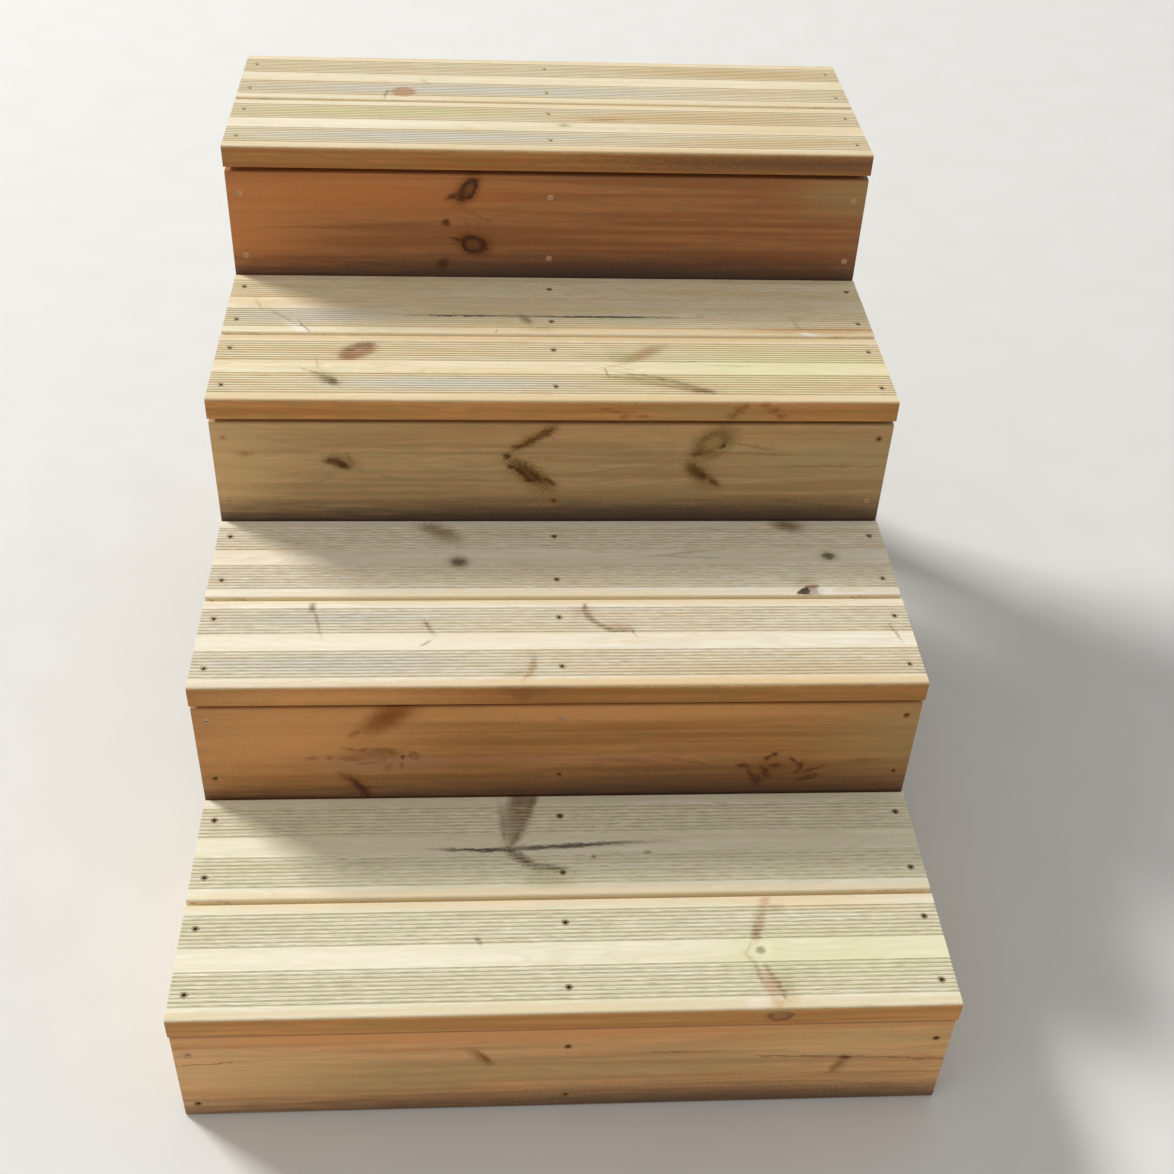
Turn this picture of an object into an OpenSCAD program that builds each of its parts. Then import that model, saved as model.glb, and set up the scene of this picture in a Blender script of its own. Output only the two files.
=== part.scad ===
// Wooden deck stairs, in millimetres.
// Grooved decking boards on three saw-tooth stringers, with posts of their own at the back.
// X runs across the stair, Y the way it climbs, and Z is up.
// The origin is on the floor, under the middle of the footprint.

/* [Stair] */
// Width of the stair, which is the length of its boards
stair_w = 800; // [600:10:1200]
// Number of steps
steps = 4; // [3:1:6]
// How far a tread stands out in front of the riser under it
nosing = 5; // [0:1:30]
// Gap between the back edge of a tread and the riser behind it
back_gap = 3; // [1:1:10]
// How far a riser reaches down behind the tread below it, out of sight
riser_drop = 7; // [0:1:15]

/* [Decking boards] */
// Width of a board
board_w = 145; // [130:1:160]
// Thickness of a board
board_t = 28; // [20:1:40]
// Gap between the two boards of a tread
board_gap = 5; // [3:1:10]
// Radius of the rounded long edges of all planed timber
arris_r = 3; // [1:0.5:5]

/* [Grooves] */
// Number of grooves in each of the two bands of a board
groove_count = 9; // [3:1:10]
// Distance from the middle of one groove to the middle of the next
groove_pitch = 5.1; // [4:0.1:5.5]
// Width of a groove at the face of the board
groove_w = 3; // [2:0.1:3.5]
// Depth of a groove
groove_d = 1.5; // [1:0.1:4]
// Distance between the innermost grooves of the two bands
centre_flat = 31; // [15:1:35]

/* [Screws] */
// Diameter of the countersinks that the heads of the screws sit in
sink_d = 9; // [6:0.5:12]
// Distance of the outer screws from the ends of a board
screw_edge = 15; // [12:1:30]
// Groove that a tread's screws stand in, counted from the middle of the board
screw_groove = 6; // [2:1:8]
// Heights of the lower screws of the risers above the tread below, set by hand and eye
low_screws = [21, 30, 27, 25]; // [15:1:50]
// Heights of the upper screws of the risers above the tread below
high_screws = [108, 119, 118, 109]; // [80:1:125]

/* [Stringers] */
// Thickness of a stringer
stringer_t = 45; // [35:1:60]
// Width of the plank that a stringer is sawn from
plank_w = 245; // [220:5:295]
// Width of the toe plate behind the first riser
toe_w = 70; // [45:1:95]
// Thickness of the toe plate
toe_t = 45; // [30:1:60]

/* [Rear frame] */
// Size of a post across the stair
post_w = 45; // [35:1:70]
// Size of a post along the stair
post_d = 95; // [70:1:120]
// Height of the foot rail above the floor
rail_lift = 60; // [20:5:150]
// Width of the diagonal brace
brace_w = 95; // [60:1:110]
// Thickness of the brace
brace_t = 22; // [16:1:35]
// Height of the low end of the brace above the floor
brace_foot = 40; // [10:5:100]
// Room between the brace and the middle stringer that it passes under
brace_room = 50; // [10:5:80]
// Height of the blocking between the stringers
blocking_h = 95; // [60:1:110]
// Thickness of the blocking
blocking_t = 45; // [30:1:60]

/* [Hidden] */
// Flats that make up a rounded edge, and a groove
arris_facets = 4;
groove_facets = 6;

// How far the cutter of a countersink stands out of the face that it is sunk into
sink_over = 1;

// The steps follow from the boards: a tread is two boards deep, and a step is as high as
// one board on edge and the thickness of the board that lies on it
tread_d = 2 * board_w + board_gap;
going = tread_d + back_gap - nosing;
rise = board_w + board_t;
pitch = atan2(rise, going);

// The step that the blocking stands under
mid_step = ceil(steps / 2);

// Depth of the whole stair, the plumb back of its frame, and the width between the
// outer stringers
stair_d = (steps - 1) * going + tread_d;
frame_back = stair_d / 2 - board_t;
clear_w = stair_w - 2 * stringer_t;

ROWS = ["front", "back"];
SIDES = ["left", "centre", "right"];

// Left faces of the stringers, and of the posts that stand against them
STRINGER_X = [-stair_w / 2, -stringer_t / 2, stair_w / 2 - stringer_t];
POST_X = [-clear_w / 2, stringer_t / 2, clear_w / 2 - post_w];

// Screws along a board: one over each stringer, or one into each post
SCREW_X = [-stair_w / 2 + screw_edge, 0, stair_w / 2 - screw_edge];
POST_SCREW_X = [for (x = POST_X) x + post_w / 2];

// Screws across a tread, and across the upright boards and the brace, from their middle
SCREW_Y = (centre_flat / 2 + (screw_groove - 1) * groove_pitch) * [-1, 1];
BOARD_SCREWS = board_w / 4 * [-1, 1];
BRACE_SCREWS = brace_w / 4 * [-1, 1];

// Place along the stair of the front edge of tread k
function nose(k) = (k - 1) * going - stair_d / 2;

// Place along the stair of the plumb cut that riser k is fixed to
function plumb(k) = nose(k) + nosing + board_t;

// Height of the level cut that carries tread k
function seat(k) = k * rise - board_t;

// Height at y of the stringers' underside, which is the lower edge of the plank
function underside(y) = seat(1) + (y - plumb(1)) * tan(pitch) - plank_w / cos(pitch);

// Place along the stair where that underside meets the floor
heel = plumb(1) + (plank_w / cos(pitch) - seat(1)) / tan(pitch);

// A quarter circle round c, from angle a on
function arris(c, a) = [
    for (i = [0 : arris_facets])
        let (b = a + 90 * i / arris_facets)
        c + arris_r * [cos(b), sin(b)]
];

// A countersink for a screw, in a face at the origin that looks towards +Z
module countersink() {
    translate([0, 0, -sink_d / 2])
        cylinder(h = sink_d / 2 + sink_over, d1 = 0, d2 = sink_d + 2 * sink_over, $fn = 32);
}

// Countersinks at all places along x and z, in a face at y that looks towards -Y or,
// with turn = -90, towards +Y
module upright_countersinks(xs, y, zs, turn = 90) {
    for (x = xs)
        for (z = zs)
            translate([x, y, z])
                rotate([turn, 0, 0])
                    countersink();
}

// Section of a planed bar, w wide and t thick, with its corner at the origin.
// The points of face lie along its upper face, from right to left.
function bar_section(w, t, face = []) = concat(
    arris([w - arris_r, t - arris_r], 0),
    face,
    arris([arris_r, t - arris_r], 90),
    arris([arris_r, arris_r], 180),
    arris([w - arris_r, arris_r], 270)
);

// Half an ellipse sunk into the face of a board, with its middle at x
function groove(x) = [
    for (i = [0 : groove_facets])
        let (a = 180 * i / groove_facets)
        [x + groove_w / 2 * cos(a), board_t - groove_d * sin(a)]
];

// Both bands of grooves, from right to left
grooved_face = concat(
    [
        for (i = [groove_count - 1 : -1 : 0])
            each groove(board_w / 2 + centre_flat / 2 + i * groove_pitch)
    ],
    [
        for (i = [0 : groove_count - 1])
            each groove(board_w / 2 - centre_flat / 2 - i * groove_pitch)
    ]
);

// A bar along X, with w of its section along Y and t along Z
module bar(w, t, length) {
    rotate([90, 0, 90])
        linear_extrude(height = length)
            polygon(bar_section(w, t));
}

// A decking board as the planer leaves it, along Z with its grooved face towards +Y
module decking_board(length) {
    linear_extrude(height = length)
        polygon(bar_section(board_w, board_t, grooved_face));
}

// A board of tread k with its grooves up; row 0 is the front one and row 1 the back one
module tread(k, row) {
    front = nose(k) + row * (board_w + board_gap);
    color("wheat")
        difference() {
            translate([-stair_w / 2, front, seat(k)])
                rotate([90, 0, 90])
                    decking_board(stair_w);
            for (x = SCREW_X)
                for (y = SCREW_Y)
                    translate([x, front + board_w / 2 + y, k * rise])
                        countersink();
        }
}

// The same board on edge as riser k, with its plain face to the front. The first one
// stands on the floor, and the others reach down behind the tread below them.
module riser(k) {
    foot = (k - 1) * rise;
    drop = k > 1 ? riser_drop : 0;
    rows = [for (heights = [low_screws, high_screws]) foot + heights[(k - 1) % len(heights)]];
    color("peru")
        difference() {
            translate([stair_w / 2, nose(k) + nosing, foot - drop])
                rotate([0, -90, 0])
                    decking_board(stair_w);
            upright_countersinks(SCREW_X, nose(k) + nosing, rows);
        }
}

// The same board across the back, with its plain face out and its lower edge at z
module rear_board(length, z) {
    rows = [for (offset = BOARD_SCREWS) z + board_w / 2 + offset];
    color("peru")
        difference() {
            translate([-length / 2, stair_d / 2, z])
                rotate([0, -90, 180])
                    decking_board(length);
            upright_countersinks(POST_SCREW_X, stair_d / 2, rows, -90);
        }
}

// Side of a stringer: the notch over the toe plate, a plumb and a level cut for each
// step, the plumb back end, the underside and the level foot
stringer_side = concat(
    [
        [plumb(1) + toe_w, 0],
        [plumb(1) + toe_w, toe_t],
        [plumb(1), toe_t],
        [plumb(1), seat(1)]
    ],
    [for (k = [2 : steps]) each [[plumb(k), seat(k - 1)], [plumb(k), seat(k)]]],
    [
        [frame_back, seat(steps)],
        [frame_back, underside(frame_back)],
        [heel, 0]
    ]
);

// Screws through the side of a stringer, as places along the stair and up: four into its
// post, and on an outer stringer two into the end of the blocking
post_screws = [
    for (y = [1, 3] * post_d / 4)
        for (z = [1, 3] * post_d / 4)
            [frame_back - y, seat(steps) - z]
];
blocking_screws = [
    for (z = [1, 3] * blocking_h / 4)
        [plumb(mid_step + 1) - blocking_t / 2, seat(mid_step) - z]
];

// Stringer i, from the left. Its screws are driven from its left side, or on the last one
// from its right side.
module stringer(i) {
    last = i == len(STRINGER_X) - 1;
    places = i == 1 ? post_screws : concat(post_screws, blocking_screws);
    color("tan")
        difference() {
            translate([STRINGER_X[i], 0, 0])
                rotate([90, 0, 90])
                    linear_extrude(height = stringer_t)
                        polygon(stringer_side);
            for (place = places)
                translate([STRINGER_X[i] + (last ? stringer_t : 0), place[0], place[1]])
                    rotate([0, last ? 90 : -90, 0])
                        countersink();
        }
}

// A post with its left face at x, from the floor to the underside of the top tread
module rear_post(x) {
    color("burlywood")
        translate([x, frame_back - post_d, 0])
            linear_extrude(height = seat(steps))
                polygon(bar_section(post_w, post_d));
}

// The plate on the floor that the toes of the stringers are notched over
module toe_plate() {
    color("burlywood")
        translate([-stair_w / 2, plumb(1), 0])
            bar(toe_w, toe_t, stair_w);
}

// A piece of blocking from x to the next stringer, under the back edge of a middle tread
module blocking(x) {
    color("burlywood")
        translate([x, plumb(mid_step + 1) - blocking_t, seat(mid_step) - blocking_h])
            bar(blocking_t, blocking_h, (clear_w - stringer_t) / 2);
}

// The brace on the front of the posts. It climbs from the foot of the left post to the
// right one, passes under the middle stringer, and is cut plumb at both ends.
module rear_brace() {
    y = frame_back - post_d - brace_t;
    run = (clear_w + stringer_t) / 2;
    climb = underside(y) - brace_room - brace_foot;
    slope = acos(brace_w / norm([run, climb])) - atan2(run, climb);
    color("burlywood")
        difference() {
            intersection() {
                translate([-clear_w / 2, y, brace_foot])
                    rotate([0, -slope, 0])
                        bar(brace_t, brace_w, clear_w / cos(slope) + brace_w * tan(slope));
                translate([-clear_w / 2, y - 1, 0])
                    cube([clear_w, brace_t + 2, seat(steps)]);
            }
            for (x = POST_SCREW_X)
                translate([x, 0, brace_foot + (x + clear_w / 2) * tan(slope) + brace_w / 2 / cos(slope)])
                    rotate([0, -slope, 0])
                        upright_countersinks([0], y, BRACE_SCREWS);
        }
}

for (k = [1 : steps])
    for (row = [0, 1])
        tread(k, row);
for (k = [1 : steps])
    riser(k);
for (i = [0 : 2])
    stringer(i);
for (i = [0 : 2])
    rear_post(POST_X[i]);
blocking(-clear_w / 2);  // blocking_left
blocking(stringer_t / 2);  // blocking_right
toe_plate();
rear_board(stair_w, seat(steps) - board_w);  // rear_top_board
rear_board(clear_w, rail_lift);  // rear_foot_rail
rear_brace();
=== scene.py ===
# %% [markdown]
# # Wooden deck stairs
#
# Four steps of grooved decking, screwed to three saw-tooth stringers and carried at the
# back by posts. The solids already have their true sizes, down to the grooves. What they
# lack is the look of pressure-treated pine: growth rings that run through every board,
# knots that bend them, sawn end grain, walking faces bleached by the sun, and dust in the
# grooves. This lesson gives them that, and then drives the screws.

# %% The frame
import math
import bpy
import numpy as np
from mathutils import Matrix, Vector


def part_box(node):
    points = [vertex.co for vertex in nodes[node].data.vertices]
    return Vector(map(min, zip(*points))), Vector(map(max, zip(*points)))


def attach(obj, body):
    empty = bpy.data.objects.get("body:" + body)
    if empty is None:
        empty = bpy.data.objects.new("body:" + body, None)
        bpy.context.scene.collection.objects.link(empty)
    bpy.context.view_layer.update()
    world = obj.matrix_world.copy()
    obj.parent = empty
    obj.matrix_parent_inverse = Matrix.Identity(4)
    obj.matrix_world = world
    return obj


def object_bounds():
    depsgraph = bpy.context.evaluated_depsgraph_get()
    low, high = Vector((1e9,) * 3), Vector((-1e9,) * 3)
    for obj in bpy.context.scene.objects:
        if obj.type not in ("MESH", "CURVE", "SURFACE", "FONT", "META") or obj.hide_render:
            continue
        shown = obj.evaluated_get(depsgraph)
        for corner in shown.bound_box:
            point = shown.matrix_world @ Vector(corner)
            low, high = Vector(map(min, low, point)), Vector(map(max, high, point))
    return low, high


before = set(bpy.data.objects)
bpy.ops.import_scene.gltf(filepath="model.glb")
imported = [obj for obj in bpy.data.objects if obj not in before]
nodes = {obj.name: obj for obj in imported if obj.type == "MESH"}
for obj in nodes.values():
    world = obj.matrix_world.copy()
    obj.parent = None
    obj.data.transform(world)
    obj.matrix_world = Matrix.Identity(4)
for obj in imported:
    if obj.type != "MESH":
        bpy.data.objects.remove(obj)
cad_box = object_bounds()
print("Solids in the frame:", len(nodes))

# %% [markdown]
# ## Camera
#
# The camera stands where a person's eyes would be, a stride in front of the lowest step,
# and looks down the flight. It could be tracked to a target object, but three numbers say
# the same and leave nothing else in the scene: a place, a point to look at, and a roll.

# %% The camera
CAMERA_AT = Vector((-0.08505, -1.51038, 1.48443))
LOOKS_AT = Vector((0.04536, 0.0, 0.24097))
ROLL = math.radians(2.936)
LENS_MM = 47.544
SENSOR_MM = 36.0

camera = bpy.data.objects.new("camera", bpy.data.cameras.new("camera"))
camera.data.lens = LENS_MM
camera.data.sensor_width = SENSOR_MM
aim = (LOOKS_AT - CAMERA_AT).to_track_quat("-Z", "Y").to_matrix()
camera.matrix_world = Matrix.Translation(CAMERA_AT) @ (aim @ Matrix.Rotation(ROLL, 3, "Z")).to_4x4()
bpy.context.scene.collection.objects.link(camera)
bpy.context.scene.camera = camera
print("Camera to target:", round((LOOKS_AT - CAMERA_AT).length, 3), "m")

# %% [markdown]
# ## One way to write nodes
#
# A material is a graph, and a long graph is easier to read as lines of code than as boxes.
# One function adds any node: its values fill the inputs in order, a node stands for its
# first output, and None leaves an input alone. Colours are written as on the screen, in
# hex, and one more function turns them to the linear numbers that light is counted in.
# Four short functions stand for the nodes that are needed most: a sum, a ramp, a noise
# that is stretched to spans, and one colour over another.

# %% Helpers for nodes and colours
def first_output(node):
    """The first output of a node that is in use."""
    return next(output for output in node.outputs if output.enabled)


def add(tree, kind, *values, sockets=None, **settings):
    """Adds a shader node of this kind, applies its settings, then fills the inputs that are
    in use: the values in order, and those in sockets by name. A node or a socket is linked,
    a value is set."""
    node = tree.nodes.new("ShaderNode" + kind)
    for name, setting in settings.items():
        setattr(node, name, setting)
    in_use = [socket for socket in node.inputs if socket.enabled]
    pairs = list(zip(in_use, values))
    pairs += [(node.inputs[name], value) for name, value in (sockets or {}).items()]
    for socket, value in pairs:
        if isinstance(value, bpy.types.Node):
            value = first_output(value)
        if isinstance(value, bpy.types.NodeSocket):
            tree.links.new(value, socket)
        elif value is not None:
            socket.default_value = value
    return node


def linear(hex_colour):
    """A hex colour as linear red, green, blue and alpha: a straight line near black, and
    a power of 2.4 above it."""
    shares = [int(hex_colour[i:i + 2], 16) / 255 for i in (1, 3, 5)]
    return [s / 12.92 if s <= 0.04045 else ((s + 0.055) / 1.055) ** 2.4 for s in shares] + [1.0]


def calc(tree, operation, *values):
    """A Math node with this operation."""
    return add(tree, "Math", *values, operation=operation)


def ramp(tree, value, start, end, low, high, way="LINEAR"):
    """A Map Range node: as the value goes from start to end, the result goes from low to high."""
    return add(tree, "MapRange", value, start, end, low, high, interpolation_type=way)


CELLS, DETAIL = 5.0, 1.0


def noise(tree, vector, spans=None, shift=None, weight=2.0, shrink=2.0):
    """Noise with CELLS cells in each of these spans along x, y and z, or in each unit without
    them. A DETAIL of 1 lays a second noise over it, weight times as strong, whose cells are
    shrink times smaller, or larger where shrink is below 1."""
    if spans:
        vector = add(tree, "Mapping", vector, shift, None, [1 / span for span in spans])
    return add(tree, "TexNoise", vector, CELLS, DETAIL, weight, shrink)


def blend(tree, cover, under, over):
    """One colour over another, as much as cover says. A colour may be a hex string."""
    under, over = (linear(tint) if isinstance(tint, str) else tint for tint in (under, over))
    return add(tree, "Mix", cover, under, over, data_type="RGBA")


def new_material(name):
    """An empty material and its node tree."""
    material = bpy.data.materials.new(name)
    material.use_nodes = True
    material.node_tree.nodes.clear()
    return material, material.node_tree


print("Half grey in linear light:", round(linear("#808080")[0], 3))

# %% [markdown]
# ## Light and floor
#
# Timber is judged in daylight: a bright sky all round, and a sun that is high and a little
# behind the flight, so that the treads are bright and the risers stand in soft shade. The
# sky is a plain white world, and the sun is one large square lamp, whose soft edge keeps
# the studio plain. A weak fill from the front lifts the risers. Together they light a level
# face with about as much as a white card needs to look white, so that a colour renders as
# it is written. The sky is dimmer as a light than it looks: the camera and mirror-like
# reflections see it at full white.

# %% The lights
SKY = 0.47
SUN_SHARE = 0.86
SUN_FROM = Vector((-0.66, 0.50, 0.70)).normalized()
SUN_DISTANCE = 20.0
SUN_SIZE = 4.6
FILL_SHARE = 0.12
FILL_FROM = Vector((-0.85, -0.55, 0.30)).normalized()
FILL_DISTANCE = 6.0
FILL_SIZE = 4.0


def soft_lamp(name, direction, distance, size, share):
    """A square lamp that shines on the middle of the object. A white face turned towards it
    gives back share of full white, which takes share * (pi * distance)^2 watts."""
    lamp = bpy.data.lights.new(name, "AREA")
    lamp.size = size
    lamp.energy = share * (math.pi * distance) ** 2
    piece = bpy.data.objects.new(name, lamp)
    middle = (Vector(cad_box[0]) + Vector(cad_box[1])) / 2
    turn = direction.to_track_quat("Z", "Y").to_matrix().to_4x4()
    piece.matrix_world = Matrix.Translation(middle + direction * distance) @ turn
    bpy.context.scene.collection.objects.link(piece)
    print(name, round(lamp.energy, 1), "W")


soft_lamp("sun", SUN_FROM, SUN_DISTANCE, SUN_SIZE, SUN_SHARE)
soft_lamp("fill", FILL_FROM, FILL_DISTANCE, FILL_SIZE, FILL_SHARE)
bpy.context.scene.view_settings.view_transform = "Standard"

# %% The sky
world = bpy.data.worlds.new("studio_sky")
bpy.context.scene.world = world
world.use_nodes = True
tree = world.node_tree
tree.nodes.clear()
rays = add(tree, "LightPath").outputs
seen = calc(tree, "MAXIMUM", rays["Is Camera Ray"], rays["Is Glossy Ray"])
seen = calc(tree, "MAXIMUM", seen, rays["Is Transmission Ray"])
strength = add(tree, "Mix", seen, SKY, 1.0, data_type="FLOAT")
sky = add(tree, "Background", linear("#FFFFFF"), strength)
add(tree, "OutputWorld", sky)
print("White sky, as a light:", SKY)

# %% [markdown]
# The floor is one large pale sheet, a hair below the feet so that the two never fight for
# the same depth. It carries a very faint cloudiness, as a painted studio floor has.

# %% The floor
FLOOR_HALF = 9.0
FLOOR_DROP = 0.0002
CLOUDS_PER_M = 5.0
CLOUD_DETAIL = 1.25
CLOUD_ROUGHNESS = 3.0
FLOOR_ROUGHNESS = 0.9

corners = np.array([(-1, -1), (1, -1), (1, 1), (-1, 1)]) * FLOOR_HALF
floor_mesh = bpy.data.meshes.new("floor")
floor_mesh.from_pydata([(x, y, cad_box[0][2] - FLOOR_DROP) for x, y in corners], [], [(0, 1, 2, 3)])
floor = bpy.data.objects.new("floor", floor_mesh)
bpy.context.scene.collection.objects.link(floor)

floor_paint, tree = new_material("matt_floor_paint")
where = add(tree, "TexCoord").outputs["Object"]
cloud = add(tree, "TexNoise", where, CLOUDS_PER_M, CLOUD_DETAIL, CLOUD_ROUGHNESS)
tone = blend(tree, cloud, "#DEDCD7", "#E4E3DF")
matt = add(tree, "BsdfPrincipled", sockets={"Base Color": tone, "Roughness": FLOOR_ROUGHNESS})
add(tree, "OutputMaterial", matt)
floor_mesh.materials.append(floor_paint)
print("Floor:", 2 * FLOOR_HALF, "m square")

# %% [markdown]
# ## Where the grain runs
#
# Every stick of timber was sawn along a trunk, so its pattern belongs to its own length,
# width and thickness, not to the world's axes. A texture could be mapped on each face, but
# then the rings on a face wouldn't meet those on the end. Here the pattern fills the solid:
# a Mapping node turns Object coordinates into millimetres along the board (x), across its
# show face (y) and out of that face (z), and everything else is drawn in those.

# %% Each board's own axes
MM = 0.001
X, Y, Z = Vector((1, 0, 0)), Vector((0, 1, 0)), Vector((0, 0, 1))


def box(name):
    """The low and the high corner of a piece's box."""
    return [Vector(corner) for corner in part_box(name)]


def board_place(name, along, across):
    """The middle of a board's show face, and the turn that takes x, y and z to the board's
    length, width and the way out of that face."""
    low, high = box(name)
    out = along.cross(across)
    middle = (low + high) / 2
    half = sum(abs(out[i]) * (high[i] - low[i]) / 2 for i in range(3))
    turn = Matrix((along, across, out)).transposed().to_euler()
    return middle + out * half, turn


def own_millimetres(tree, place):
    """Object coordinates as millimetres in the board's own axes."""
    origin, turn = place
    coordinates = add(tree, "TexCoord").outputs["Object"]
    return add(tree, "Mapping", coordinates, origin, turn, (MM, MM, MM), vector_type="TEXTURE")


def turned_to(tree, direction):
    """How far a face is turned to this direction in object axes: the dot product of its
    normal with it, which is 1 for a face that looks that way and -1 for its back."""
    normal = add(tree, "TexCoord").outputs["Normal"]
    return add(tree, "VectorMath", normal, direction, operation="DOT_PRODUCT")


print("Show face of riser_1 has its middle at", board_place("riser_1", X, Z)[0][:])

# %% [markdown]
# ## Growth rings
#
# A tree is a stack of cones round its pith: each year adds a pale, soft layer in spring and
# a dark, hard one in late summer. So the pattern is the distance to the pith line, cut into
# rings of a few millimetres. The cones' taper lets the rings run out on a flat face as long
# arches, slow noise makes them wander, and a knot pushes them aside.

# %% Rings through the solid
WANDER_MM = (900.0, 120.0, 120.0)
WIDTH_CHANGE_MM = 17.0
WIDTH_CHANGE = 1.5
LATE_FROM, LATE_FULL, LATE_FADES = 0.25, 0.9, 0.93


def growth_rings(tree, millimetres, pushes, look):
    """Distance from the pith line, and how deep in the dark late wood a point lies. The
    distance is that of (across, out) to the pith, plus taper times the way along, plus what
    the knots push. Its fraction of a ring climbs slowly to late wood and drops at once."""
    seed, wander, ring = look["seed"], look["wander"], look["ring"]
    slow = noise(tree, millimetres, WANDER_MM, (seed, seed, 0)).outputs["Color"]
    bent = add(tree, "VectorMath", slow, (0, wander, wander), millimetres, operation="MULTIPLY_ADD")
    pith = (0, look["pith"][0] + wander / 2, look["pith"][1] + wander / 2)
    centred = add(tree, "VectorMath", bent, pith, operation="SUBTRACT")
    flat = add(tree, "VectorMath", centred, (0, 1, 1), operation="MULTIPLY")
    distance = add(tree, "VectorMath", flat, operation="LENGTH")
    along = add(tree, "SeparateXYZ", millimetres)
    distance = calc(tree, "MULTIPLY_ADD", along, look["taper"], distance)
    for push in pushes:
        distance = calc(tree, "ADD", distance, push)
    years = add(tree, "TexNoise", distance, 1 / WIDTH_CHANGE_MM, DETAIL, noise_dimensions="1D")
    spread = calc(tree, "MULTIPLY_ADD", years, ring * WIDTH_CHANGE, distance)
    share = calc(tree, "FRACT", calc(tree, "DIVIDE", spread, ring))
    rise = ramp(tree, share, LATE_FROM, LATE_FULL, 0.0, 1.0, "SMOOTHSTEP")
    drop = ramp(tree, share, 1.0, LATE_FADES, 0.0, 1.0)
    return distance, calc(tree, "MULTIPLY", rise, drop)
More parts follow.
